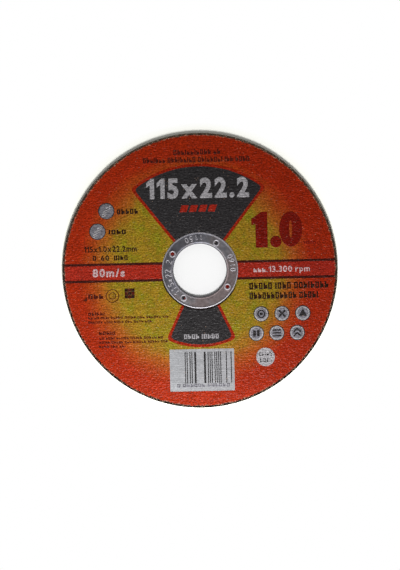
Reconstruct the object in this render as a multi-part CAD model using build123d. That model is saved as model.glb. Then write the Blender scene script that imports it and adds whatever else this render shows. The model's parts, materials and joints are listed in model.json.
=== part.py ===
from build123d import *
import math
import os

# Resin-bonded cut-off wheel, 115 x 1.0 x 22.23 mm, lying on its back with the label up.
# Millimetres. The origin is on the bore axis, at the level of the back face.

# The wheel
wheel_diameter = 115.0
wheel_thickness = 1.0
bore_diameter = 22.23

# The glass-fibre mesh on each face: rovings standing proud of one side of a film of resin
film_thickness = 0.06
roving_height = 0.06
roving_pitch = 4.20
roving_width = 1.60
roving_end_margin = 0.20
rear_mesh_turn = 30.0

# The paper label
paper_thickness = 0.08
label_margin = 0.65

# The centre ring, pressed from tinned sheet
ring_width = 4.885
ring_sheet = 0.28
bore_bend_radius = 0.60
bore_bend_outer_flat_count = 4
bore_bend_inner_flat_count = 2
sleeve_set_back = 0.10
edge_bead_rise = 0.06
edge_bead_quarter_flat_count = 2

# The seat that the ring is pressed into
seat_depth = 0.10
seat_gap = 0.45
step_wall = 0.10

# The four holes pierced through the ring, and the torn petals that grip the wheel
pierced_hole_count = 4
pierced_hole_diameter = 1.45
pierced_dish_diameter = 2.80
pierced_hole_from_bend = 1.635
pierced_first_angle = 58.0
petal_count = 3
petal_set_back = 0.03
petal_thickness = 0.16
petal_root_width = 0.50
petal_tip_width = 0.16
petal_length = 0.36

# Room between pieces that were pressed together round a curve
fit_gap = 0.03

# Levels, from the back face upwards
wheel_radius = wheel_diameter / 2
bore_radius = bore_diameter / 2
ring_radius = bore_radius + ring_width
core_bottom = roving_height + film_thickness
core_top = wheel_thickness - film_thickness
seat_floor = core_top - seat_depth
seat_film_top = seat_floor + film_thickness
flange_bottom = seat_film_top + paper_thickness
flange_top = flange_bottom + ring_sheet
bend_level = flange_top - bore_bend_radius
petal_tip = flange_bottom - petal_length

# The wheel's hole round the sleeve, wider at the front where the sleeve bends outwards
sleeve_radius = bore_radius + ring_sheet
core_bore_radius = sleeve_radius + fit_gap
front_hole_radius = bore_radius + bore_bend_radius
pierced_circle_radius = front_hole_radius + pierced_hole_from_bend

# The stepped edge of the ring's seat, one wall inside the other
label_step_inner = ring_radius + seat_gap
label_step_outer = label_step_inner + step_wall
mesh_step_inner = label_step_outer + fit_gap
mesh_step_outer = mesh_step_inner + step_wall
core_seat_radius = mesh_step_outer + fit_gap


def arc_points(middle, radius, start, end, flats):
    """Points along an arc that is turned as a few flats, both ends included."""
    angles = [math.radians(start + (end - start) * step / flats) for step in range(flats + 1)]
    return [(middle[0] + radius * math.cos(angle), middle[1] + radius * math.sin(angle)) for angle in angles]


def turned(outline):
    """A solid of revolution about the bore axis, from its (radius, height) outline."""
    section = make_face(Polyline([(radius, 0, height) for radius, height in outline], close=True))
    return revolve(section, Axis.Z)


def stepped_washer(hole, step_inner, step_outer, outer, seat_level, face_level, thickness):
    """A flat sheet pressed down around the bore: low inside the step, high outside it."""
    return turned(
        [
            (hole, seat_level),
            (step_outer, seat_level),
            (step_outer, face_level),
            (outer, face_level),
            (outer, face_level + thickness),
            (step_inner, face_level + thickness),
            (step_inner, seat_level + thickness),
            (hole, seat_level + thickness),
        ]
    )


def rovings(hole_edge, low):
    """Straight bars along X, evenly spaced in Y, cut square just inside the rim and outside the hole."""
    outer = wheel_radius - roving_end_margin
    inner = hole_edge + roving_end_margin
    count = int((outer - roving_width) // roving_pitch)
    bars = []
    for step in range(-count, count + 1):
        middle = step * roving_pitch
        far_side = abs(middle) + roving_width / 2
        near_side = max(abs(middle) - roving_width / 2, 0)
        end = math.sqrt(outer**2 - far_side**2)
        start = math.sqrt(max(inner**2 - near_side**2, 0))
        runs = [(-end, -start), (start, end)] if start > 0 else [(-end, end)]
        for left, right in runs:
            bar = Box(right - left, roving_width, roving_height)
            bars.append(Pos((left + right) / 2, middle, low + roving_height / 2) * bar)
    return bars


def front_rovings():
    """The front mesh's rovings, sunk in the grit outside the ring's seat."""
    return rovings(core_seat_radius, core_top - roving_height)


def hole_places():
    """The middle of each pierced hole, turned to face outwards."""
    for number in range(pierced_hole_count):
        angle = pierced_first_angle + number * 360 / pierced_hole_count
        yield Rot(0, 0, angle) * Pos(pierced_circle_radius, 0, 0)


def petal_places():
    """The middle of each petal's root, turned to face away from its hole."""
    reach = pierced_hole_diameter / 2 + petal_set_back + petal_thickness / 2
    for hole in hole_places():
        for number in range(petal_count):
            yield hole * Rot(0, 0, number * 360 / petal_count) * Pos(reach, 0, 0)


def petal_slots(low, high):
    """The cuts that the petals made, between two levels."""
    slot = Box(petal_thickness + 2 * fit_gap, petal_root_width + 2 * fit_gap, high - low)
    return [place * Pos(0, 0, (low + high) / 2) * slot for place in petal_places()]


def abrasive_wheel():
    """The pressed body of grit and resin between the two meshes."""
    bend_room = seat_floor - bend_level
    body = turned(
        [
            (core_bore_radius, core_bottom),
            (wheel_radius, core_bottom),
            (wheel_radius, core_top),
            (core_seat_radius, core_top),
            (core_seat_radius, seat_floor),
            (core_bore_radius + bend_room, seat_floor),
            (core_bore_radius, bend_level),
        ]
    )
    return body - front_rovings() - petal_slots(petal_tip - fit_gap, seat_floor)


def front_glass_mesh():
    """The mesh under the label, pressed down with the ring's seat."""
    film = stepped_washer(
        front_hole_radius,
        mesh_step_inner,
        mesh_step_outer,
        wheel_radius,
        seat_floor,
        core_top,
        film_thickness,
    )
    return film + front_rovings() - petal_slots(seat_floor, seat_film_top)


def rear_glass_mesh():
    """The mesh on the back face, with its rovings in view."""
    washer = Circle(wheel_radius) - Circle(core_bore_radius)
    film = Pos(0, 0, roving_height) * extrude(washer, amount=film_thickness)
    return film + [Rot(0, 0, rear_mesh_turn) * bar for bar in rovings(core_bore_radius, 0)]


def paper_label():
    """The printed paper, pressed down into the ring's seat."""
    paper = stepped_washer(
        front_hole_radius,
        label_step_inner,
        label_step_outer,
        wheel_radius - label_margin,
        seat_film_top,
        wheel_thickness,
        paper_thickness,
    )
    return paper - petal_slots(seat_film_top, flange_bottom)


def ring_blank():
    """The ring before it is pierced: sleeve, bend, flange and beaded edge."""
    bead_radius = (ring_sheet + edge_bead_rise) / 2
    bead_middle = (ring_radius - bead_radius, flange_bottom + bead_radius)
    bead_start = 180 - math.degrees(math.asin((ring_sheet - bead_radius) / bead_radius))
    bend_middle = (front_hole_radius, bend_level)
    outline = [(bore_radius, sleeve_set_back)]
    outline += arc_points(bend_middle, bore_bend_radius, 180, 90, bore_bend_outer_flat_count)
    outline += arc_points(bead_middle, bead_radius, bead_start, 90, 1)
    outline += arc_points(bead_middle, bead_radius, 90, -90, 2 * edge_bead_quarter_flat_count)[1:]
    outline += arc_points(bend_middle, bore_bend_radius - ring_sheet, 90, 180, bore_bend_inner_flat_count)
    outline += [(sleeve_radius, sleeve_set_back)]
    return turned(outline)


def pierced_hole_cut():
    """What a pointed punch opens in the sheet: a dish that narrows to a round hole."""
    hole_radius = pierced_hole_diameter / 2
    dish_radius = pierced_dish_diameter / 2
    outline = [(0, flange_bottom), (hole_radius, flange_bottom), (dish_radius, flange_top), (0, flange_top)]
    return turned(outline)


def petal():
    """One torn petal, a tapered tooth that points down from the flange."""
    outline = [
        (0, -petal_root_width / 2, flange_bottom),
        (0, -petal_tip_width / 2, petal_tip),
        (0, petal_tip_width / 2, petal_tip),
        (0, petal_root_width / 2, flange_bottom),
    ]
    tooth = make_face(Polyline(outline, close=True))
    return extrude(tooth, amount=petal_thickness / 2, dir=(1, 0, 0), both=True)


def centre_ring():
    """The pressed ring, pierced in four places."""
    cut = pierced_hole_cut()
    tooth = petal()
    pierced = ring_blank() - [hole * cut for hole in hole_places()]
    return pierced + [place * tooth for place in petal_places()]


nodes = {
    "abrasive_wheel": abrasive_wheel(),
    "front_glass_mesh": front_glass_mesh(),
    "rear_glass_mesh": rear_glass_mesh(),
    "paper_label": paper_label(),
    "centre_ring": centre_ring(),
}

os.makedirs("parts", exist_ok=True)
for name, node in nodes.items():
    export_step(node, f"parts/{name}.step")
    print(name, "solids", len(node.solids()), "volume", round(node.volume, 2))
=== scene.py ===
import json
import math
import bmesh
import bpy
from mathutils import Matrix, Vector, noise


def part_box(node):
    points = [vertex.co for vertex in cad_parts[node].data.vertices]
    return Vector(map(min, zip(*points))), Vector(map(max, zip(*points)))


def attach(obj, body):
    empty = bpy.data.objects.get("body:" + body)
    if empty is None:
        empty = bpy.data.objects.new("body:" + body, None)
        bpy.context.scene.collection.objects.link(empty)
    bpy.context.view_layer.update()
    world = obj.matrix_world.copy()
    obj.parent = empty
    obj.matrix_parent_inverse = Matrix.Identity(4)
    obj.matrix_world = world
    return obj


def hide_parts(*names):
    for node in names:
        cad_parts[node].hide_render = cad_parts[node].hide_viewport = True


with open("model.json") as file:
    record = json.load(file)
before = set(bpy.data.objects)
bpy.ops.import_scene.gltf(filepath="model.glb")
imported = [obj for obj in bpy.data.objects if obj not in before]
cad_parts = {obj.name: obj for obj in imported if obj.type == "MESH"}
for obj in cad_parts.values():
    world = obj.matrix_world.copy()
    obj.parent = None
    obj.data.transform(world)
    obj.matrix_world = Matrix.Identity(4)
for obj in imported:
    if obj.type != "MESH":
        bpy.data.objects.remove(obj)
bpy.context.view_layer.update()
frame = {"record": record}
noise.seed_set(11)

# A cut-off wheel for an angle grinder, lying on its back with the label up.
# Sizes are in millimetres until a piece is finished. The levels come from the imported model.
MM = 0.001


def reach(node):
    """The radius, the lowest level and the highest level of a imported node."""
    low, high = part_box(node)
    return high.x / MM, low.z / MM, high.z / MM


wheel_radius, _, rear_film_top = reach("rear_glass_mesh")
_, core_bottom, core_top = reach("abrasive_wheel")
_, seat_floor, face_level = reach("front_glass_mesh")
label_radius, seat_film_top, label_top = reach("paper_label")
ring_radius, sleeve_bottom, bead_top = reach("centre_ring")
bore_radius = frame["record"]["mounts"][0]["dims"]["r_mm"]

# The ring
ring_sheet = 0.28
bend_radius = 0.60
bead_rise = 0.06
flange_top = bead_top - bead_rise
flange_bottom = flange_top - ring_sheet
bend_level = flange_top - bend_radius
sleeve_radius = bore_radius + ring_sheet
bend_end_radius = bore_radius + bend_radius
hole_circle_radius = 13.35
first_hole_angle = 58.0
hole_radius = 0.725
mouth_radius = 1.38
torn_edge = flange_bottom - 0.05
petal_tip = flange_bottom - 0.36

# The patch of the flange that is opened for each hole: its radii and half its angle
patch_edges = (11.95, 14.92)
patch_half_angle = 8

# The seat pressed for the ring, and the wheel's own hole
fit_gap = 0.03
core_hole_radius = sleeve_radius + fit_gap
label_step = (16.45, 16.55)
mesh_step = (16.58, 16.68)
core_step = 16.71

# The grain of the paper and of the grit, and the size of the glints painted on the paper
thread_pitch = 0.85
glint_size = 0.60
grain_size = 0.28

# The relief of the label, and of the mesh on the back
ridge_pitch = 1.40
ridge_height = 0.026
label_middle = label_top - 0.040
mesh_pitch = 4.20
roving_width = 1.75
rear_turn = 30.0


# Materials

def tint(red, green, blue):
    """A colour as a paint chart gives it, from 0 to 255, made linear."""
    linear = []
    for level in (red, green, blue):
        share = level / 255
        linear.append(((share + 0.055) / 1.055) ** 2.4 if share > 0.04045 else share / 12.92)
    return (*linear, 1.0)


class Finish:
    """One material in the making. Its patterns are laid out in millimetres."""

    def __init__(self, name):
        self.material = bpy.data.materials.new(name)
        self.material.use_nodes = True
        self.tree = self.material.node_tree
        self.surface = self.tree.nodes["Principled BSDF"]
        place = self.add("ShaderNodeTexCoord").outputs["Object"]
        self.place = self.vector("SCALE", place, scale=1 / MM)
        self.x, self.y, _ = self.add("ShaderNodeSeparateXYZ", {0: self.place}).outputs
        self.radius = self.vector("LENGTH", self.vector("MULTIPLY", self.place, (1, 1, 0)))

    def feed(self, socket, value):
        if isinstance(value, bpy.types.NodeSocket):
            self.tree.links.new(value, socket)
        else:
            socket.default_value = value

    def add(self, kind, inputs=(), **settings):
        node = self.tree.nodes.new(kind)
        for key, value in settings.items():
            setattr(node, key, value)
        for key, value in dict(inputs).items():
            self.feed(node.inputs[key], value)
        return node

    def math(self, operation, *values, clamp=False):
        node = self.add("ShaderNodeMath", dict(enumerate(values)), operation=operation, use_clamp=clamp)
        return node.outputs[0]

    def times(self, first, second):
        return self.math("MULTIPLY", first, second)

    def plus(self, first, second):
        return self.math("ADD", first, second)

    def minus(self, first, second):
        return self.math("SUBTRACT", first, second)

    def vector(self, operation, *values, scale=None):
        node = self.add("ShaderNodeVectorMath", dict(enumerate(values)), operation=operation)
        if scale is not None:
            node.inputs["Scale"].default_value = scale
        return node.outputs["Value" if operation in ("LENGTH", "DISTANCE") else "Vector"]

    def noise(self, size, detail=2.0, roughness=0.5, place=None):
        """Soft noise from 0 to 1, whose lumps are about this many millimetres wide."""
        inputs = {"Vector": place or self.place, "Scale": 1 / size, "Detail": detail, "Roughness": roughness}
        return self.add("ShaderNodeTexNoise", inputs).outputs[0]

    def cells(self, size, output="Distance"):
        """Random cells about this many millimetres wide."""
        inputs = {"Vector": self.place, "Scale": 1 / size}
        return self.add("ShaderNodeTexVoronoi", inputs).outputs[output]

    def pick(self, size):
        """A random number from 0 to 1 for each of those cells."""
        return self.add("ShaderNodeSeparateColor", {0: self.cells(size, "Color")}).outputs[0]

    def stretch(self, scale):
        """The place with each axis divided by a length, for grain that runs one way."""
        return self.vector("MULTIPLY", self.place, scale)

    def span(self, value, low, high, to_low=0.0, to_high=1.0):
        inputs = {0: value, 1: low, 2: high, 3: to_low, 4: to_high}
        return self.add("ShaderNodeMapRange", inputs).outputs[0]

    def inside(self, distance, edge=0.08):
        """1 inside an outline and 0 outside, from the distance to it."""
        return self.math("MULTIPLY_ADD", distance, -1 / edge, 0.5, clamp=True)

    def over(self, factor, below, above, blend="MIX"):
        """One colour laid over another, or multiplied with it."""
        node = self.add("ShaderNodeMix", {0: factor, 6: below, 7: above}, data_type="RGBA", blend_type=blend)
        return node.outputs[2]

    def ramp(self, factor, stops):
        node = self.add("ShaderNodeValToRGB", {0: factor})
        elements = node.color_ramp.elements
        while len(elements) < len(stops):
            elements.new(0.5)
        for element, (position, colour) in zip(elements, stops):
            element.position = position
            element.color = colour
        return node.outputs[0]

    def bump(self, height, distance, normal=None):
        inputs = {"Height": height, "Distance": distance * MM, "Strength": 1.0}
        if normal:
            inputs["Normal"] = normal
        return self.add("ShaderNodeBump", inputs).outputs[0]

    def set(self, **inputs):
        for key, value in inputs.items():
            self.feed(self.surface.inputs[key.replace("_", " ")], value)
        return self.material


# The print

yellow = tint(138, 105, 25)
olive = tint(116, 110, 17)
amber = tint(146, 82, 24)
orange = tint(147, 57, 17)
red = tint(145, 36, 10)
stripe_red = tint(145, 35, 22)
border_ink = tint(58, 20, 15)
outline_red = tint(136, 30, 9)
dark_ink = tint(43, 40, 41)
black_ink = tint(42, 21, 13)
gap_shade = tint(26, 17, 14)
figure_red = tint(103, 17, 7)
brown_ink = tint(72, 23, 14)
grey_ink = tint(114, 112, 119)
silver_ink = tint(149, 146, 149)
pale_ink = tint(180, 152, 153)
bare_paper_and_glint = tint(198, 160, 132)

# Its fields: a stripe with borders, the red part of the hub, two fans by half angle and radius,
# and the middle and size of the pale sheet and of the bars on it
stripe_middle = -0.24
stripe_half_width = 2.98
border_half_width = 4.02
red_hub_half_height = 9.0
upper_fan = (38.0, 43.5)
lower_fan = (25.0, 31.0)
fan_outline = 1.15
sheet_place = (0.0, -41.7, 27.0, 17.6)
bars_place = (1.1, -40.65, 23.3, 13.1)
bar_width = 0.40
blank_share = 0.64


def fan(finish, half_angle, outer, side):
    """The distance to a fan that opens from the bore axis towards the rim, with rounded corners."""
    angle = math.radians(half_angle)
    across = finish.times(finish.math("ABSOLUTE", finish.x), math.cos(angle))
    flank = finish.math("MULTIPLY_ADD", finish.y, -side * math.sin(angle), across)
    return finish.math("SMOOTH_MAX", flank, finish.minus(finish.radius, outer), 3.0)


def panel(finish, x, y, width, height, corner=0.5):
    """The distance to an upright panel with rounded corners."""
    across = finish.math("ABSOLUTE", finish.minus(finish.x, x))
    up = finish.math("ABSOLUTE", finish.minus(finish.y, y))
    across = finish.minus(across, width / 2)
    up = finish.minus(up, height / 2)
    return finish.math("SMOOTH_MAX", across, up, corner)


def running_colour(finish):
    """Yellow at the bore running out to red, with green where the yellow ends."""
    uneven = finish.math("MULTIPLY_ADD", finish.noise(14.0, 3.0), 5.0, -2.5)
    uneven = finish.math("MULTIPLY_ADD", finish.x, 0.045, uneven)
    uneven = finish.math("MULTIPLY_ADD", finish.noise(2.4, 3.0), 3.0, finish.minus(uneven, 1.5))
    out = finish.math("DIVIDE", finish.plus(finish.radius, uneven), label_radius)
    colour = finish.ramp(out, [(0.58, yellow), (0.68, amber), (0.77, orange), (0.86, red)])
    green = finish.span(finish.noise(4.0, 4.0, 0.75), 0.43, 0.63)
    green = finish.times(green, finish.span(out, 0.56, 0.70, 0.85, 0.0))
    return finish.over(green, colour, olive)


def with_fields(finish, colour):
    """The stripe, the hub and the two fans over the ground."""
    from_stripe = finish.math("ABSOLUTE", finish.minus(finish.y, stripe_middle))
    for half_width, ink in ((border_half_width, border_ink), (stripe_half_width, stripe_red)):
        colour = finish.over(finish.inside(finish.minus(from_stripe, half_width)), colour, ink)
    hub = finish.inside(finish.minus(finish.radius, ring_radius - 0.1))
    beside_stripe = finish.inside(finish.minus(from_stripe, red_hub_half_height))
    colour = finish.over(hub, colour, finish.over(beside_stripe, dark_ink, figure_red))
    fans = finish.math("MINIMUM", fan(finish, *upper_fan, 1), fan(finish, *lower_fan, -1))
    colour = finish.over(finish.inside(finish.minus(fans, fan_outline)), colour, outline_red)
    return finish.over(finish.inside(fans), colour, dark_ink)


def with_bars(finish, colour, sheet):
    """The pale sheet, and random bars on it."""
    colour = finish.over(sheet, colour, silver_ink)
    number = finish.math("FLOOR", finish.math("DIVIDE", finish.x, bar_width))
    drawn = finish.add("ShaderNodeTexWhiteNoise", {"W": number}, noise_dimensions="1D").outputs["Value"]
    bars = finish.math("GREATER_THAN", drawn, blank_share)
    field = finish.inside(panel(finish, *bars_place, corner=0.05))
    return finish.over(finish.times(bars, field), colour, dark_ink)


def with_painted_gap_shade(finish, colour):
    """Painted shade: a dark colour in the gap round the lower side of the ring."""
    gap = finish.inside(finish.minus(finish.radius, label_step[1] - 0.05))
    gap = finish.times(gap, finish.inside(finish.minus(ring_radius - 0.15, finish.radius)))
    low_side = finish.span(finish.math("MULTIPLY_ADD", finish.x, 0.1, finish.y), -8.0, -4.0, 1.0, 0.0)
    return finish.over(finish.times(gap, low_side), colour, gap_shade)


def with_worn_edge(finish, colour):
    """The label's edge, bare in places and soaked with resin outside that. The resin carries painted light
    that makes it lighter towards the top of the wheel.
    """
    from_edge = finish.minus(label_radius, finish.radius)
    frayed = finish.math("MULTIPLY_ADD", finish.noise(0.7, 2.0), 1.2, -0.20)
    pale = finish.inside(finish.minus(from_edge, finish.plus(frayed, 0.10)), 0.12)
    pale = finish.times(pale, finish.span(finish.noise(1.0, 2.0), 0.46, 0.62, 0.0, 0.55))
    colour = finish.over(pale, colour, bare_paper_and_glint)
    soaked = finish.inside(finish.minus(from_edge, finish.minus(frayed, 0.14)), 0.12)
    # Painted light: the resin-soaked edge is lighter towards the top of the wheel
    resin_with_painted_light = finish.over(finish.span(finish.y, -30.0, 40.0, 0.0, 0.6), tint(24, 14, 9), tint(88, 68, 54))
    return finish.over(soaked, colour, resin_with_painted_light)


def printed_ground(finish):
    """The colour of the whole label, and where its smooth sheet lies."""
    sheet = finish.inside(panel(finish, *sheet_place))
    colour = with_fields(finish, running_colour(finish))
    colour = with_painted_gap_shade(finish, with_bars(finish, colour, sheet))
    # The colours are fuller towards the left and at the foot of the label
    across = finish.span(finish.x, -label_radius, label_radius)
    deeper = finish.over(across, (1.17, 1.29, 1.28, 1), (0.86, 0.84, 0.84, 1))
    colour = finish.over(1.0, colour, deeper, "MULTIPLY")
    fuller = finish.span(finish.y, -label_radius, -46.0, 1.14, 1.0)
    colour = finish.over(1.0, colour, fuller, "MULTIPLY")
    return with_worn_edge(finish, colour), sheet


def printed_paper(name, colour=None):
    """Varnished paper pressed on to grit and mesh. It takes one ink, or the whole ground."""
    finish = Finish(name)
    ink, smooth = (colour, 0.0) if colour else printed_ground(finish)
    mottle = finish.span(finish.noise(3.0, 4.0, 0.65), 0.3, 0.7, 0.86, 1.14)
    ink = finish.over(1.0, ink, mottle, "MULTIPLY")
    speck = finish.noise(0.55, 1.0, 0.5, finish.stretch((0.75, 1.15, 1.0)))
    speck = finish.span(speck, 0.30, 0.70, 0.55, 1.45)
    ink = finish.over(finish.math("MULTIPLY_ADD", smooth, -0.7, 1.0), ink, speck, "MULTIPLY")
    wander = finish.math("MULTIPLY_ADD", finish.noise(2.5, 1.0), 1.1, finish.y)
    thread = finish.math("SINE", finish.times(wander, math.tau / thread_pitch))
    ink = finish.over(1.0, ink, finish.span(thread, -1.0, 1.0, 0.94, 1.06), "MULTIPLY")
    # Painted glints: rare pale specks mixed towards the bare paper colour, standing in for highlights
    pick = finish.pick(glint_size)
    near = finish.math("LESS_THAN", finish.cells(glint_size), 0.24)
    glint = finish.times(near, finish.math("GREATER_THAN", pick, 0.968))
    ink = finish.over(finish.times(glint, 0.5), ink, bare_paper_and_glint)
    roughness = finish.span(finish.noise(0.8, 3.0), 0.3, 0.7, 0.30, 0.42)
    crinkle = finish.noise(0.72, 1.0, 0.5, finish.stretch((0.65, 1.10, 1.0)))
    crinkle = finish.times(crinkle, finish.math("MULTIPLY_ADD", smooth, -0.5, 1.0))
    normal = finish.bump(crinkle, 0.31)
    normal = finish.bump(thread, 0.005, normal)
    return finish.set(Base_Color=ink, Roughness=roughness, Normal=normal, Specular_IOR_Level=0.09)


def pressed_grit():
    """Brown fused grit in black resin, with painted light that makes it lighter towards the top of the
    wheel.
    """
    finish = Finish("pressed_grit")
    grain = finish.cells(grain_size)
    pick = finish.pick(grain_size)
    colour = finish.ramp(pick, [
        (0.0, tint(18, 11, 7)),
        (0.60, tint(30, 19, 12)),
        (0.86, tint(74, 52, 36)),
        (0.975, tint(160, 138, 112)),
    ])
    colour = finish.over(finish.span(grain, 0.25, 0.6), colour, tint(16, 10, 7))
    # Painted light: lighter towards the top of the wheel
    colour = finish.over(finish.span(finish.y, -30.0, 40.0, 0.0, 0.5), colour, tint(96, 80, 66))
    roughness = finish.span(pick, 0.0, 1.0, 0.80, 0.45)
    normal = finish.bump(grain, -0.09)
    normal = finish.bump(finish.noise(0.12, 3.0), 0.03, normal)
    return finish.set(Base_Color=colour, Roughness=roughness, Normal=normal, Specular_IOR_Level=0.08)


def resin_soaked_mesh():
    """Glass rovings one way and the other, in dark resin over the grit."""
    finish = Finish("resin_soaked_mesh")
    turn = finish.add("ShaderNodeMapping", {"Vector": finish.place})
    turn.inputs["Rotation"].default_value = (0, 0, math.radians(-rear_turn))
    along = finish.add("ShaderNodeSeparateXYZ", {0: turn.outputs[0]}).outputs
    roving = 0.0
    strand = 0.0
    for side, stretch in ((along[0], (5.0, 0.4, 1.0)), (along[1], (0.4, 5.0, 1.0))):
        turns = finish.math("DIVIDE", side, mesh_pitch)
        from_middle = finish.math("ABSOLUTE", finish.minus(turns, finish.math("ROUND", turns)))
        half = finish.times(from_middle, mesh_pitch)
        frayed = finish.math("MULTIPLY_ADD", finish.noise(0.7, 3.0), 0.5, -0.25)
        edge = finish.minus(finish.plus(half, frayed), roving_width / 2)
        covered = finish.inside(edge, 0.35)
        fibres = finish.noise(1.0, 3.0, 0.6, finish.vector("MULTIPLY", turn.outputs[0], stretch))
        strand = finish.math("MAXIMUM", finish.times(covered, fibres), strand)
        roving = finish.math("MAXIMUM", covered, roving)
    pick = finish.pick(grain_size)
    grit = finish.ramp(pick, [
        (0.0, tint(20, 16, 14)),
        (0.7, tint(38, 30, 25)),
        (0.92, tint(100, 86, 72)),
    ])
    glass = finish.ramp(strand, [
        (0.35, tint(56, 48, 36)),
        (0.55, tint(92, 80, 60)),
        (0.72, tint(134, 120, 94)),
    ])
    colour = finish.over(finish.times(roving, 0.85), grit, glass)
    roughness = finish.span(roving, 0.0, 1.0, 0.62, 0.34)
    normal = finish.bump(strand, 0.05)
    normal = finish.bump(finish.cells(0.30), -0.03, normal)
    return finish.set(Base_Color=colour, Roughness=roughness, Normal=normal)


def cut_glass():
    """The broken ends of the rovings, whiter than the rest."""
    finish = Finish("cut_glass")
    colour = finish.ramp(finish.noise(0.5, 2.0), [(0.3, tint(122, 104, 84)), (0.7, tint(204, 188, 164))])
    return finish.set(Base_Color=colour, Roughness=0.35)


def rubbed_metal():
    """What stands highest on the ring, rubbed brighter than the sheet."""
    finish = Finish("rubbed_metal")
    return finish.set(Base_Color=tint(178, 175, 180), Metallic=1.0, Roughness=0.60)


def tinned_sheet():
    """Thin pressed tinplate, dull and handled. Its colour also carries a painted reflection and painted
    shade.
    """
    finish = Finish("tinned_sheet")
    # Painted reflection: bluish grey towards the upper left, warm pink towards the lower right
    painted_warm_reflection = finish.math("MULTIPLY_ADD", finish.y, -0.022, finish.math("MULTIPLY_ADD", finish.x, 0.026, 0.5))
    painted_warm_reflection = finish.plus(painted_warm_reflection, finish.span(finish.noise(4.0, 3.0, 0.6), 0.3, 0.7, -0.35, 0.35))
    colour = finish.ramp(painted_warm_reflection, [
        (0.10, tint(186, 187, 200)),
        (0.50, tint(191, 187, 192)),
        (0.90, tint(188, 171, 171)),
    ])
    # Painted shade: the flange is darker towards the upper left
    painted_shade = finish.math("MULTIPLY_ADD", finish.y, 0.5, finish.times(finish.x, -0.87))
    painted_shade = finish.plus(painted_shade, finish.span(finish.noise(3.0, 4.0, 0.6), 0.3, 0.7, -4.0, 4.0))
    colour = finish.over(finish.span(painted_shade, 2.0, 12.0, 0.0, 0.6), colour, tint(124, 121, 127))
    grime = finish.span(finish.noise(1.1, 5.0, 0.7), 0.50, 0.74, 0.0, 0.40)
    colour = finish.over(grime, colour, tint(112, 102, 100))
    # Painted shade in the bend into the bore, all round
    colour = finish.over(finish.span(finish.radius, 11.35, 11.70, 0.85, 0.0), colour, tint(84, 83, 86))
    roughness = finish.span(finish.noise(1.6, 5.0, 0.7), 0.3, 0.75, 0.32, 0.42)
    roughness = finish.plus(roughness, finish.span(finish.radius, 11.40, 12.10, 0.40, 0.0))
    flat = finish.span(finish.radius, 11.50, 12.30)
    scratch = finish.noise(0.5, 4.0, 0.7, finish.stretch((0.25, 3.0, 1.0)))
    normal = finish.bump(finish.times(finish.noise(2.2, 3.0), flat), 0.045)
    normal = finish.bump(finish.times(scratch, flat), 0.005, normal)
    return finish.set(Base_Color=colour, Metallic=1.0, Roughness=roughness, Normal=normal)


# Modelling

def evenly(start, end, steps):
    """Evenly spaced values, both ends included."""
    return [start + (end - start) * step / steps for step in range(steps + 1)]


def bow(x, y, across, up, start, end, steps=8):
    """Points along part of an oval about (x, y), from one angle to the other."""
    angles = [math.radians(angle) for angle in evenly(start, end, steps)]
    return [(x + across * math.cos(angle), y + up * math.sin(angle)) for angle in angles]


def turned(points, steps):
    """A closed (radius, height) outline carried round the bore axis."""
    bm = bmesh.new()
    radius, height = points[0]
    bmesh.ops.create_circle(bm, segments=steps, radius=radius, matrix=Matrix.Translation((0, 0, height)))
    first = bm.edges[:]
    last = drawn(bm, first, points[1:])
    bmesh.ops.bridge_loops(bm, edges=first + last)
    bmesh.ops.recalc_face_normals(bm, faces=bm.faces[:])
    return bm


def square_mesh(inner, outer, step_x, step_y):
    """A level sheet of small squares between two circles, with its edges drawn on to them."""
    bm = bmesh.new()
    columns = 2 * math.ceil(outer / step_x)
    rows = 2 * math.ceil(outer / step_y)
    bmesh.ops.create_grid(bm, x_segments=columns, y_segments=rows, size=1.0)
    bmesh.ops.scale(bm, vec=(columns * step_x / 2, rows * step_y / 2, 1.0), verts=bm.verts[:])
    margin = min(step_x, step_y) / 2
    spare = [vert for vert in bm.verts if not inner + margin < vert.co.length < outer - margin]
    bmesh.ops.delete(bm, geom=spare, context="VERTS")
    for vert in bm.verts:
        if vert.is_boundary:
            edge_radius = inner if vert.co.length < (inner + outer) / 2 else outer
            vert.co *= edge_radius / vert.co.length
    return bm


def open_edges(bm):
    """The outer and the inner open edge of a sheet with a hole in its middle."""
    outer, inner = [], []
    for edge in bm.edges:
        if edge.is_boundary:
            side = outer if edge.verts[0].co.xy.length > wheel_radius / 2 else inner
            side.append(edge)
    return outer, inner


def ends(edges):
    """The vertices of some edges, each of them once."""
    return list(dict.fromkeys(vert for edge in edges for vert in edge.verts))


def drawn(bm, loop, stations, middle=Vector((0, 0))):
    """Carries an open edge on through (radius, height) stations about an upright axis."""
    for radius, height in stations:
        made = bmesh.ops.extrude_edge_only(bm, edges=loop)["geom"]
        loop = [item for item in made if isinstance(item, bmesh.types.BMEdge) and item.is_boundary]
        for vert in ends(loop):
            vert.co.xy = middle + (vert.co.xy - middle).normalized() * radius
            vert.co.z = height
    return loop


def add_shape(bm, shape):
    """Adds one modelled shape to another."""
    carrier = bpy.data.meshes.new("carrier")
    shape.to_mesh(carrier)
    shape.free()
    bm.from_mesh(carrier)
    bpy.data.meshes.remove(carrier)


def curve_shape(curve):
    """The faces of a line or a text, whose curve is then thrown away."""
    holder = bpy.data.objects.new("curve", curve)
    mesh = bpy.data.meshes.new_from_object(holder)
    bm = bmesh.new()
    bm.from_mesh(mesh)
    bpy.data.meshes.remove(mesh)
    bpy.data.objects.remove(holder)
    bpy.data.curves.remove(curve)
    return bm


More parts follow.
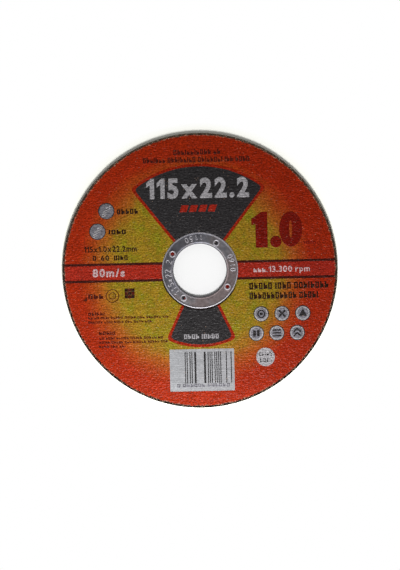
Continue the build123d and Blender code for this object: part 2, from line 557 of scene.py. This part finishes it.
def finished(bm, name, materials, slot, *nodes):
    """The modelled piece as an object in metres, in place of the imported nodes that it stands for."""
    bmesh.ops.scale(bm, vec=(MM, MM, MM), verts=bm.verts[:])
    mesh = bpy.data.meshes.new(name)
    bm.to_mesh(mesh)
    bm.free()
    for material in materials:
        mesh.materials.append(material)
    mesh.shade_smooth()
    mesh.set_sharp_from_angle(angle=math.radians(38))
    piece = bpy.data.objects.new(name, mesh)
    bpy.context.scene.collection.objects.link(piece)
    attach(piece, "root")
    if nodes:
        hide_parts(*nodes)
    return piece


# The label

label_step_x = 0.60
label_step_y = 0.35
label_field_inner = 17.1
label_field_outer = label_radius - 0.25


def label_level(x, y):
    """The height of the label's face, where the mesh and the grit press through."""
    wander = 0.45 * noise.noise((x / 3.2, y / 2.4, 4))
    ridge = math.sin(math.tau * (y + wander) / ridge_pitch)
    strength = 0.55 + 0.7 * noise.noise((x / 3.0, y / 2.0, 8))
    crinkle = noise.noise((x / 1.60, y / 0.85, 12))
    level = label_middle + ridge_height * (strength * ridge + 0.55 * crinkle)
    return min(max(level, face_level + 0.006), label_top - 0.002)


def paper_label():
    bm = square_mesh(label_field_inner, label_field_outer, label_step_x, label_step_y)
    for vert in bm.verts:
        vert.co.z = label_level(vert.co.x, vert.co.y)
    outer, inner = open_edges(bm)
    outer = drawn(bm, outer, [
        (label_radius - 0.08, label_middle),
        (label_radius, label_middle - 0.02),
        (label_radius, face_level),
    ])
    inner = drawn(bm, inner, [
        (label_step[1] + 0.15, label_middle),
        (label_step[1], label_middle - 0.03),
        (label_step[0], flange_bottom),
        (bend_end_radius, flange_bottom),
        (bend_end_radius, seat_film_top),
        (label_step[1], seat_film_top),
        (label_step[1] + 0.01, face_level),
    ])
    bmesh.ops.bridge_loops(bm, edges=outer + inner)
    bmesh.ops.recalc_face_normals(bm, faces=bm.faces[:])
    finished(bm, "paper_label_face", [printed_paper("printed_label")], "label", "paper_label")


# The small print, laid on the label's relief

ink_rise = 0.008
ink_thickness = 0.012

# Letters, in units of the letter size
letter_height = 0.69
letter_gap = 0.11
space_width = 0.26

# Blocks that stand for letters, by left, right, low and top
letter_blocks = {
    "#": (
        (0.0, 0.16, 0.0, letter_height),
        (0.28, 0.44, 0.0, letter_height),
        (0.16, 0.28, 0.0, 0.15),
        (0.16, 0.28, letter_height - 0.15, letter_height),
    ),
    "=": ((0.0, 0.18, 0.0, letter_height), (0.18, 0.42, 0.06, 0.44)),
    "|": ((0.0, 0.17, 0.0, letter_height),),
    "_": ((0.0, 0.15, 0.0, 0.48), (0.15, 0.40, 0.0, 0.34)),
}

# Rows of print by ink: the text, the row's middle, its height and width, and the weight of letters
silver_rows = (
    ("115x22.2", -0.2, 34.5, 8.6, 43.0, 0.045),
    ("#=#= |#=##", 0.0, -27.6, 2.0, 14.5),
)
pale_rows = (
    ("80m/s", -38.2, -0.2, 3.5, 13.5, 0.04),
    ("___.13.300 rpm", 34.2, -0.1, 2.5, 23.6, 0.022),
)
black_rows = (
    ("115x1.0x22.2mm", -37.2, 9.7, 2.5, 22.0, 0.03),
    ("#  60  #|=#", -37.4, 6.0, 2.2, 14.6, 0.03),
    ("#==#=", -29.8, 25.2, 2.1, 8.8),
    ("|#=#", -34.2, 16.8, 1.9, 7.2),
    ("#=#=# |#=# ##=|=#==", 37.0, -7.1, 2.8, 33.0),
    ("#==#==#==#= #=#=|", 34.8, -11.2, 2.8, 28.7),
)
dark_rows = (
    ("#=|=#", 26.6, -35.6, 1.5, 5.4),
    ("=##|", 26.6, -38.2, 1.5, 4.8),
)
brown_rows = (
    ("#=_|__|_#== _=", -0.2, 49.5, 2.2, 19.6),
    ("#=_|=__ #==|=_|_# #=|_=#_| |== =#=#", -0.6, 46.3, 2.2, 44.4),
    ("#==", -43.8, -10.1, 2.1, 6.2),
    ("#=|==|", -43.7, -17.3, 1.3, 6.8),
    ("=_ _# #==| =_==# ##|== #=_ ==_#=_ =|=", -30.4, -19.0, 1.0, 33.6),
    ("#=_##= _#|# =#== #=_ #_#= _#=", -33.9, -20.8, 1.0, 26.6),
    ("=#=|#", -39.4, -25.4, 1.4, 6.8),
    ("_# =#=| =_##= #=|== ##=_= =#", -29.4, -27.6, 1.0, 26.6),
    ("=#|== #=_#= #_= =|=#_= =#==_ ##=", -28.4, -29.3, 1.0, 28.6),
    ("=_== |=_ _=", -37.6, -31.0, 1.0, 10.6),
)
grey_rows = (("# #==##= =#=#=#", 0.4, -48.1, 1.4, 22.0),)


def flat_outline(points):
    """A flat shape from its corners."""
    bm = bmesh.new()
    bm.faces.new([bm.verts.new((x, y, 0)) for x, y in points])
    bm.normal_update()
    bmesh.ops.triangulate(bm, faces=bm.faces[:])
    return bm


def flat_bar(width, height, x=0.0, y=0.0, lean=0.0):
    """A bar, or a slanted one."""
    across, up = width / 2, height / 2
    corners = ((-across, -up), (across, -up), (across, up), (-across, up))
    return flat_outline([(x + side + lean * rise, y + rise) for side, rise in corners])


def flat_blocks(character):
    """The blocks that stand for a letter."""
    bm = bmesh.new()
    for left, right, low, top in letter_blocks[character]:
        add_shape(bm, flat_bar(right - left, top - low, (left + right) / 2, (low + top) / 2))
    return bm


def flat_one(weight):
    """The figure 1, without a foot."""
    stroke = 0.10 + 2 * weight
    right, low, top = 0.22 + stroke, -weight, letter_height + weight
    flag = (right - stroke - 0.15, top - 0.17)
    return flat_outline([
        (right, low),
        (right, top),
        (right - 0.7 * stroke, top),
        flag,
        (flag[0], flag[1] - 0.9 * stroke),
        (right - stroke, top - 0.16 - 0.5 * stroke),
        (right - stroke, low),
    ])


def flat_character(character, weight):
    """One figure or sign on its line, in units of the letter size."""
    if character in letter_blocks:
        return flat_blocks(character)
    if character == "1":
        return flat_one(weight)
    curve = bpy.data.curves.new("figures", "FONT")
    curve.body = character
    curve.offset = weight
    curve.resolution_u = 4
    return curve_shape(curve)


def flat_disc(radius):
    bm = bmesh.new()
    bmesh.ops.create_circle(bm, cap_ends=True, segments=40, radius=radius)
    return bm


def flat_hoop(radius, width, tall=1.0):
    """A round outline, or a tall one whose stroke is wider at its sides."""
    bm = bmesh.new()
    bmesh.ops.create_circle(bm, segments=40, radius=radius)
    drawn(bm, bm.edges[:], [(radius - width, 0)])
    for vert in bm.verts:
        outer = vert.co.xy.length > radius - width / 2
        vert.co.y *= tall if outer else (radius * tall - 0.85 * width) / (radius - width)
    return bm


class Ink:
    """All the marks that one ink prints."""

    def __init__(self, name, colour):
        self.name = name
        self.colour = colour
        self.bm = bmesh.new()

    def put(self, shape, x, y, turn=0.0, layer=0):
        """Places a flat shape, cuts it along the label's squares and presses it on to the relief."""
        turned_by = Matrix.Rotation(math.radians(turn), 3, "Z")
        bmesh.ops.rotate(shape, cent=(0, 0, 0), matrix=turned_by, verts=shape.verts[:])
        bmesh.ops.translate(shape, vec=(x, y, 0), verts=shape.verts[:])
        for axis, step in ((0, label_step_x), (1, label_step_y)):
            low = min(vert.co[axis] for vert in shape.verts)
            high = max(vert.co[axis] for vert in shape.verts)
            direction = Vector((axis == 0, axis == 1, 0))
            for line in range(math.ceil(low / step), math.floor(high / step) + 1):
                everything = shape.verts[:] + shape.edges[:] + shape.faces[:]
                bmesh.ops.bisect_plane(
                    shape, geom=everything, dist=1e-5, plane_co=direction * line * step, plane_no=direction
                )
        for vert in shape.verts:
            vert.co.z = label_level(vert.co.x, vert.co.y) + ink_rise * (1 + layer)
        add_shape(self.bm, shape)

    def row(self, text, x, y, height, width, weight=0.0):
        """A row of print about its middle, drawn out or in to this width."""
        size = height / (letter_height + 2 * weight)
        pen = 0.0
        shapes = []
        for character in text:
            if character == " ":
                pen += space_width
                continue
            shape = flat_character(character, weight)
            low = min(vert.co.x for vert in shape.verts)
            high = max(vert.co.x for vert in shape.verts)
            bmesh.ops.translate(shape, vec=(pen - low, -letter_height / 2, 0), verts=shape.verts[:])
            shapes.append(shape)
            pen += high - low + letter_gap
        pen -= letter_gap
        for shape in shapes:
            bmesh.ops.translate(shape, vec=(-pen / 2, 0, 0), verts=shape.verts[:])
            bmesh.ops.scale(shape, vec=(width / pen, size, 1), verts=shape.verts[:])
            self.put(shape, x, y)

    def printed(self):
        """The ink as one piece, all of it face up, with a little thickness below."""
        bmesh.ops.recalc_face_normals(self.bm, faces=self.bm.faces[:])
        for face in self.bm.faces:
            if face.normal.z < 0:
                face.normal_flip()
        piece = finished(self.bm, self.name, [printed_paper(self.name, self.colour)], "label")
        backing = piece.modifiers.new("backing", "SOLIDIFY")
        backing.thickness = ink_thickness * MM
        backing.offset = -1.0


def large_thickness(crimson):
    """The wheel's thickness in large figures, with its unit."""
    top, low, left = 23.9, 8.9, 21.9
    crimson.put(flat_outline([
        (left + 6.7, low),
        (left + 6.7, top),
        (left + 4.3, top),
        (left, top - 2.9),
        (left, top - 5.6),
        (left + 1.7, top - 5.0),
        (left + 1.7, low),
    ]), 0, 0)
    crimson.put(flat_disc(2.4), 32.0, low + 2.4)
    crimson.put(flat_hoop(4.85, 4.25, 1.52), 38.3, (top + low) / 2)
    crimson.row("mm", 46.2, 10.9, 1.7, 5.2, 0.03)


def striped_discs(grey, silver, dark):
    """The two discs at the upper left, with slanted stripes."""
    for x, y in ((-38.6, 25.6), (-42.5, 17.1)):
        grey.put(flat_disc(3.2), x, y)
        dark.put(flat_hoop(3.45, 0.4), x, y)
        for offset in (-1.9, -0.7, 0.5, 1.7):
            silver.put(flat_bar(4.2 - abs(offset), 0.5), x + offset * 0.5, y + offset, turn=28, layer=1)


def plain_signs():
    """What the six discs show: a dot in a hoop, a cross, a triangle, two bars, three bars, two chevrons."""
    chevron = [(-1.6, -1.0), (0, 0.3), (1.6, -1.0), (1.6, -0.1), (0, 1.2), (-1.6, -0.1)]
    return [
        [(flat_hoop(1.7, 0.6), 0, 0), (flat_disc(0.65), 0, 0)],
        [(flat_bar(3.8, 0.8), 0, 45), (flat_bar(1.5, 0.8, 1.2), 0, -45), (flat_bar(1.5, 0.8, -1.2), 0, -45)],
        [(flat_outline([(-1.8, -1.2), (1.8, -1.2), (0, 1.9)]), 0, 0)],
        [(flat_bar(1.1, 2.6, x), 0, 0) for x in (-0.8, 0.8)],
        [(flat_bar(3.4, 0.6), rise, 0) for rise in (-1.2, 0.0, 1.2)],
        [(flat_outline(chevron), rise, 0) for rise in (-0.9, 0.8)],
    ]


def sign_discs(grey, silver, dark):
    """Two rows of discs at the lower right, with a plain sign on each."""
    places = []
    for row, (first, y) in enumerate(((25.2, -18.8), (23.0, -26.9))):
        places += [(first + 8.7 * number - 0.15 * row * number, y) for number in range(3)]
    for x, y in places:
        silver.put(flat_disc(2.95), x, y)
        dark.put(flat_hoop(3.25, 0.4), x, y)
        grey.put(flat_disc(2.3), x, y, layer=1)
    for (x, y), sign in zip(places, plain_signs()):
        for shape, rise, turn in sign:
            dark.put(shape, x, y + rise, turn=turn, layer=2)


def plain_marks(black, brown):
    """At the lower left a double hoop, a chequered square and a small triangle."""
    for radius, width in ((2.8, 0.35), (1.5, 0.30)):
        brown.put(flat_hoop(radius, width), -36.8, -9.9)
    for across in range(3):
        for up in range(3):
            ink = black if (across + up) % 2 == 0 else brown
            ink.put(flat_bar(1.35, 1.35), -31.0 + 1.4 * across, -10.4 + 1.4 * up)
    brown.put(flat_outline([(-1.0, -0.8), (1.0, -0.8), (1.0, 0.9)]), -48.4, -11.0)


def small_print():
    """Plain figures and units, blocks for words, and simple signs, where the label carries its data."""
    black = Ink("print_black", black_ink)
    dark = Ink("print_dark", dark_ink)
    crimson = Ink("print_crimson", figure_red)
    grey = Ink("print_grey", grey_ink)
    silver = Ink("print_silver", silver_ink)
    scarlet = Ink("print_scarlet", stripe_red)
    brown = Ink("print_brown", brown_ink)
    pale = Ink("print_pale", pale_ink)
    large_thickness(crimson)
    for number in range(4):
        scarlet.put(flat_bar(3.0, 2.9, lean=0.35), -6.1 + 3.95 * number, 25.9)
    striped_discs(grey, silver, dark)
    sign_discs(grey, silver, dark)
    silver.put(flat_disc(3.9), 26.6, -36.8)
    plain_marks(black, brown)
    rows_by_ink = (
        (silver, silver_rows),
        (pale, pale_rows),
        (black, black_rows),
        (dark, dark_rows),
        (brown, brown_rows),
        (grey, grey_rows),
    )
    for ink, rows in rows_by_ink:
        for row in rows:
            ink.row(*row)
    for ink in (black, dark, crimson, grey, silver, scarlet, brown, pale):
        ink.printed()


# The wheel under the label

rim_steps = 1800


def grit_depth(place):
    """How far the face falls back between grains."""
    return noise.voronoi(place / 0.32)[0][0]


def rim_depth(place):
    """How far the rim falls back here from a true circle."""
    return 0.075 * grit_depth(place) + 0.012 * (noise.noise(place / 3.0) + 1)


def abrasive_body():
    """The pressed grit. Its rim is rough and a little ragged."""
    rim = [(wheel_radius, level) for level in evenly(core_bottom, core_top, 7)]
    hole = [
        (core_step, core_top),
        (core_step, seat_floor),
        (core_hole_radius + seat_floor - bend_level, seat_floor),
        (core_hole_radius, bend_level),
        (core_hole_radius, core_bottom),
    ]
    bm = turned(rim + hole, rim_steps)
    for vert in bm.verts:
        if vert.co.xy.length > wheel_radius - 1:
            vert.co.xy *= 1 - rim_depth(vert.co) / wheel_radius
    finished(bm, "abrasive_body", [pressed_grit()], "grit", "abrasive_wheel")


def front_mesh():
    """The front mesh, whose resin shows as a dark gritty line round the label."""
    outline = [(radius, face_level) for radius in evenly(wheel_radius, label_radius - 0.3, 5)]
    outline += [
        (mesh_step[0], face_level),
        (mesh_step[0], seat_film_top),
        (bend_end_radius, seat_film_top),
        (bend_end_radius, seat_floor),
        (mesh_step[1], seat_floor),
        (mesh_step[1], core_top),
        (wheel_radius, core_top),
    ]
    bm = turned(outline, rim_steps)
    for vert in bm.verts:
        radius = vert.co.xy.length
        if radius > label_radius - 0.2 and vert.co.z > core_top + 0.01:
            vert.co.z += 0.055 * (0.55 - grit_depth(vert.co)) - 0.02
        if radius > wheel_radius - 0.01:
            vert.co.xy *= 1 - rim_depth(vert.co) / wheel_radius
    finished(bm, "front_mesh", [pressed_grit()], "glass_mesh", "front_glass_mesh")


def fibre_ends():
    """Stubs of broken glass at the rim, where the front mesh's rovings were cut."""
    bm = bmesh.new()
    outermost = int(wheel_radius / mesh_pitch)
    for number in range(-outermost, outermost + 1):
        for way in range(4):
            for _ in range(3):
                seed = noise.random_vector()
                side = number * mesh_pitch + 0.6 * seed.x
                angle = math.asin(side / wheel_radius) + way * math.pi / 2
                length = 0.18 + 0.12 * abs(seed.y)
                radius = wheel_radius - 0.30 - length / 2 - 0.15 * abs(seed.z)
                place = Matrix.Rotation(angle, 4, "Z")
                place @= Matrix.Translation((radius, 0, face_level + 0.005))
                place @= Matrix.Rotation(0.9 * seed.y, 4, "Z")
                place @= Matrix.Diagonal((length, 0.18, 0.07, 1.0))
                bmesh.ops.create_cube(bm, size=1.0, matrix=place)
    finished(bm, "fibre_ends", [cut_glass()], "glass_mesh")


def rear_level(x, y):
    """The height of the back face: rovings that cross over and under, with resin on the grit between."""
    level = 0.085 + 0.020 * noise.noise((x / 0.8, y / 0.8, 3))
    for across, along, shift in ((x, y, 0), (y, x, 1)):
        number = round(across / mesh_pitch)
        off = (across - number * mesh_pitch + 0.12 * noise.noise((x / 5, y / 5, 6))) / (roving_width / 2)
        if abs(off) < 1:
            lift = 0.012 * math.cos(math.pi * (along / mesh_pitch + number + shift))
            strand = 0.016 + lift + 0.065 * off * off
            level = min(level, strand + 0.004 * noise.noise((x / 0.5, y / 0.5, 9)))
    return max(level, 0.0)


def rear_mesh():
    """The mesh on the back, one sheet of resin with the weave standing out of it."""
    bm = square_mesh(core_hole_radius + 0.3, wheel_radius - 0.45, 0.35, 0.35)
    for vert in bm.verts:
        vert.co.z = rear_level(vert.co.x, vert.co.y)
    turn = Matrix.Rotation(math.radians(rear_turn), 3, "Z")
    bmesh.ops.rotate(bm, cent=(0, 0, 0), matrix=turn, verts=bm.verts[:])
    outer, inner = open_edges(bm)
    rim = wheel_radius - 0.12
    outer = drawn(bm, outer, [(rim, 0.09), (rim, rear_film_top)])
    inner = drawn(bm, inner, [(core_hole_radius, 0.08), (core_hole_radius, rear_film_top)])
    for vert in bm.verts:
        if vert.co.xy.length > wheel_radius - 0.3:
            vert.co.xy *= 1 + 0.11 * (1 - 1.6 * grit_depth(vert.co)) / wheel_radius
    bmesh.ops.bridge_loops(bm, edges=outer + inner)
    bmesh.ops.recalc_face_normals(bm, faces=bm.faces[:])
    finished(bm, "rear_mesh", [resin_soaked_mesh()], "glass_mesh", "rear_glass_mesh")


# The ring

# The mouth of a pierced hole, as radii and levels over the flange
dished_mouth = (
    (mouth_radius, 0),
    (1.30, 0.020),
    (1.21, 0.046),
    (1.13, 0.055),
    (1.05, 0.040),
    (0.96, -0.01),
    (0.87, -0.09),
    (0.79, -0.19),
    (hole_radius, -0.30),
)

# The rolled edge from its top round to the underside: how far inside the ring's edge and below its top
rolled_edge = (
    (0.40, 0.0),
    (0.32, 0.012),
    (0.23, 0.045),
    (0.14, 0.082),
    (0.06, 0.125),
    (0.01, 0.18),
    (0.0, 0.23),
    (0.04, 0.29),
    (0.14, 0.34),
)


def torn_level(around):
    """The height of the torn edge below a pierced hole, which has three petals."""
    off = abs((math.degrees(around) + 60) % 120 - 60)
    return petal_tip + (torn_edge - petal_tip) * min(max((off - 6) / 13, 0), 1)


def at_level(item, level):
    """Whether a face or an edge lies at this level."""
    return all(abs(vert.co.z - level) < 1e-4 for vert in item.verts)


def pierce(bm, angle):
    """Opens one hole: a dished mouth that narrows to the hole, and a torn edge below the sheet."""
    turn = Matrix.Rotation(angle, 3, "Z")
    middle = (turn @ Vector((hole_circle_radius, 0, 0))).xy
    torn = []
    for level, wall in ((flange_top, dished_mouth), (flange_bottom, [(hole_radius + 0.20, 0)])):
        patch = []
        for face in bm.faces:
            place = turn.inverted() @ face.calc_center_median()
            across = math.degrees(math.atan2(place.y, place.x))
            within = abs(across) < patch_half_angle and patch_edges[0] < place.xy.length < patch_edges[1]
            if within and at_level(face, level):
                patch.append(face)
        bmesh.ops.delete(bm, geom=patch, context="FACES")
        loop = [
            edge
            for edge in bm.edges
            if edge.is_boundary and at_level(edge, level) and (edge.verts[0].co.xy - middle).length < 3
        ]
        loop = drawn(bm, loop, [(radius, level + fall) for radius, fall in wall], middle)
        loop = drawn(bm, loop, [(hole_radius + 0.06, level)], middle)
        for vert in ends(loop):
            out = turn.inverted() @ (vert.co - Vector((middle.x, middle.y, 0)))
            vert.co.z = torn_level(math.atan2(out.y, out.x))
            torn.append(vert)
    bmesh.ops.remove_doubles(bm, verts=torn, dist=0.001)


def centre_ring(bright):
    """The pressed ring: sleeve, bend, flange and rolled edge."""
    flat = evenly(*patch_edges, 5) + [ring_radius - 0.80]
    inner_bend = bend_radius - ring_sheet
    outline = [(bore_radius, sleeve_bottom)]
    outline += bow(bend_end_radius, bend_level, bend_radius, bend_radius, 180, 97, 10)
    outline += [(bend_end_radius, flange_top + 0.010), (bend_end_radius + 0.12, flange_top + 0.006)]
    outline += [(radius, flange_top) for radius in flat]
    outline += [(ring_radius - 0.64, flange_top + 0.014), (ring_radius - 0.50, bead_top - 0.010)]
    outline += [(ring_radius - inside, bead_top - below) for inside, below in rolled_edge]
    outline += [(radius, flange_bottom) for radius in reversed(flat)]
    outline += bow(bend_end_radius, bend_level, inner_bend, inner_bend, 90, 180, 6)
    outline += [(sleeve_radius, sleeve_bottom)]
    bm = turned(outline, 360)
    angles = [math.radians(first_hole_angle + 90 * number) for number in range(4)]
    for angle in angles:
        pierce(bm, angle)
    bmesh.ops.recalc_face_normals(bm, faces=bm.faces[:])
    holes = [Vector((math.cos(angle), math.sin(angle))) * hole_circle_radius for angle in angles]
    for face in bm.faces:
        place = face.calc_center_median()
        lip = min((place.xy - hole).length for hole in holes) < mouth_radius
        rolled = place.xy.length > ring_radius - 0.55
        face.material_index = int((lip or rolled) and place.z > flange_bottom)
    for vert in bm.verts:
        radius = vert.co.xy.length
        if radius > ring_radius - 0.1:
            vert.co.xy *= 1 - 0.04 * (1 + noise.noise(vert.co / 0.7)) / radius
    finished(bm, "pressed_ring", [tinned_sheet(), bright], "ring", "centre_ring")


figure_rise = 0.05

# Centre lines of the figures, one unit high
figure_lines = {
    "0": [bow(0.26, 0.5, 0.26, 0.5, 0, 360, 20)],
    "1": [[(0.04, 0.76), (0.24, 1.0), (0.24, 0.0)]],
    "2": [bow(0.27, 0.74, 0.25, 0.26, 165, -30) + [(0.02, 0.0), (0.54, 0.0)]],
    "3": [bow(0.25, 0.76, 0.24, 0.24, 150, -90) + bow(0.25, 0.26, 0.28, 0.26, 90, -150)[1:]],
    "5": [[(0.48, 1.0), (0.10, 1.0), (0.06, 0.56)] + bow(0.25, 0.31, 0.27, 0.31, 115, -150)],
    "6": [[(0.44, 1.0), (0.20, 0.78), (0.03, 0.45)] + bow(0.27, 0.29, 0.25, 0.29, 170, 530, 16)],
    "x": [[(0.0, 0.05), (0.40, 0.60)], [(0.0, 0.60), (0.40, 0.05)]],
    ".": [[(0.10, 0.0), (0.10, 0.05)]],
}


def raised_figure(character, height, stroke):
    """One figure as rounded strokes, to stand half out of the flange."""
    curve = bpy.data.curves.new("figure", "CURVE")
    curve.dimensions = "3D"
    curve.bevel_depth = stroke / 2
    curve.bevel_resolution = 2
    curve.use_fill_caps = True
    for line in figure_lines[character]:
        spline = curve.splines.new("POLY")
        spline.points.add(len(line) - 1)
        for point, (x, y) in zip(spline.points, line):
            point.co = ((x - 0.27) * height, y * height, 0, 1)
    bm = curve_shape(curve)
    bmesh.ops.remove_doubles(bm, verts=bm.verts[:], dist=1e-4)
    bmesh.ops.scale(bm, vec=(1, 1, 2 * figure_rise / stroke), verts=bm.verts[:])
    bmesh.ops.recalc_face_normals(bm, faces=bm.faces[:])
    return bm


# The rows on the ring: the text, the angle of its middle, its radius, the angle from figure to
# figure, its height, and the way it runs
ring_rows = (
    ("115x22.2", 192.7, 12.30, 8.3, 2.30, -1),
    ("1150", 100.0, 14.75, 8.5, 2.05, 1),
    ("0160", 12.3, 14.90, 7.9, 2.10, 1),
)


def ring_figures(bright):
    """Plain figures pressed up out of the flange."""
    everything = bmesh.new()
    for text, middle, radius, pitch, height, way in ring_rows:
        for number, character in enumerate(text):
            bm = raised_figure(character, height, 0.42)
            angle = middle + way * pitch * (number - (len(text) - 1) / 2)
            bmesh.ops.translate(bm, vec=(0, -way * radius, flange_top - 0.004), verts=bm.verts[:])
            turn = Matrix.Rotation(math.radians(angle + 90 * way), 3, "Z")
            bmesh.ops.rotate(bm, cent=(0, 0, 0), matrix=turn, verts=bm.verts[:])
            add_shape(everything, bm)
    finished(everything, "ring_figures", [bright], "ring")


# The picture

def floor():
    """A pale floor that keeps the wheel's shadow and is white elsewhere."""
    bm = bmesh.new()
    bmesh.ops.create_grid(bm, x_segments=1, y_segments=1, size=3.0)
    mesh = bpy.data.meshes.new("floor")
    bm.to_mesh(mesh)
    bm.free()
    finish = Finish("pale_floor")
    path = finish.add("ShaderNodeLightPath")
    seen = finish.math("MAXIMUM", path.outputs["Is Camera Ray"], path.outputs["Is Glossy Ray"])
    seen = finish.math("MAXIMUM", seen, path.outputs["Is Transmission Ray"])
    # Through the bore the floor is darker than outside the wheel
    outside = finish.span(finish.radius, 20.0, 40.0)
    within = finish.span(finish.y, -11.0, 11.0, 0.82, 0.955)
    bright = finish.over(outside, within, (1.32, 1.32, 1.20, 1))
    shade = finish.over(seen, (0.75, 0.75, 0.74, 1), bright)
    pale = finish.add("ShaderNodeBsdfDiffuse", {"Color": shade}).outputs[0]
    white = finish.add("ShaderNodeEmission", {"Color": (1, 1, 1, 1), "Strength": 1.0}).outputs[0]
    far = finish.times(seen, finish.span(finish.radius, 58.2, 62.0))
    mixed = finish.add("ShaderNodeMixShader", {0: far, 1: pale, 2: white}).outputs[0]
    finish.feed(finish.tree.nodes["Material Output"].inputs["Surface"], mixed)
    mesh.materials.append(finish.material)
    sheet = bpy.data.objects.new("floor", mesh)
    bpy.context.scene.collection.objects.link(sheet)


def lamp(name, place, size, power):
    """A square lamp that faces the wheel."""
    light = bpy.data.lights.new(name, "AREA")
    light.size = size
    light.energy = power
    holder = bpy.data.objects.new(name, light)
    holder.location = place
    holder.rotation_euler = (-Vector(place)).to_track_quat("-Z", "Y").to_euler()
    bpy.context.scene.collection.objects.link(holder)


def lighting():
    """One studio lamp from the bottom of the picture, and weak light from all round."""
    lamp("key", (0.005, -0.168, 0.165), 0.07, 0.66)
    world = bpy.data.worlds.new("studio")
    bpy.context.scene.world = world
    world.use_nodes = True
    nodes = world.node_tree.nodes
    links = world.node_tree.links
    direction = nodes.new("ShaderNodeTexCoord").outputs["Generated"]
    up = nodes.new("ShaderNodeSeparateXYZ")
    links.new(direction, up.inputs[0])
    # Strong towards the horizon and weak overhead
    level = nodes.new("ShaderNodeMapRange")
    level.interpolation_type = "SMOOTHSTEP"
    links.new(up.outputs[2], level.inputs["Value"])
    for number, value in enumerate((0.30, 0.66, 0.90, 0.06), start=1):
        level.inputs[number].default_value = value
    nodes["Background"].inputs["Color"].default_value = (1.0, 1.0, 1.0, 1.0)
    links.new(level.outputs[0], nodes["Background"].inputs["Strength"])


# The photograph is 400 x 570 pixels. These are the wheel's middle in it, and its scale.
picture_size = (400, 570)
wheel_pixel = (199.95, 270.3)
pixels_per_mm = 2.392
print_turn = 1.3
camera_height = 1.0


def camera():
    """Straight above the wheel, turned a little, as the print is in the picture."""
    data = bpy.data.cameras.new("camera")
    data.sensor_fit = "VERTICAL"
    data.sensor_height = 36.0
    frame_height = picture_size[1] / pixels_per_mm * MM
    data.lens = data.sensor_height * (camera_height - label_top * MM) / frame_height
    data.clip_start = 0.01
    holder = bpy.data.objects.new("camera", data)
    turn = Matrix.Rotation(math.radians(-print_turn), 3, "Z")
    right = (picture_size[0] / 2 - wheel_pixel[0]) / pixels_per_mm * MM
    up = (wheel_pixel[1] - picture_size[1] / 2) / pixels_per_mm * MM
    holder.location = turn @ Vector((right, up, camera_height))
    holder.rotation_euler = turn.to_euler()
    bpy.context.scene.collection.objects.link(holder)
    bpy.context.scene.camera = holder


paper_label()
small_print()
abrasive_body()
front_mesh()
fibre_ends()
rear_mesh()
bright_metal = rubbed_metal()
centre_ring(bright_metal)
ring_figures(bright_metal)
floor()
lighting()
camera()
bpy.context.scene.view_settings.view_transform = "Standard"
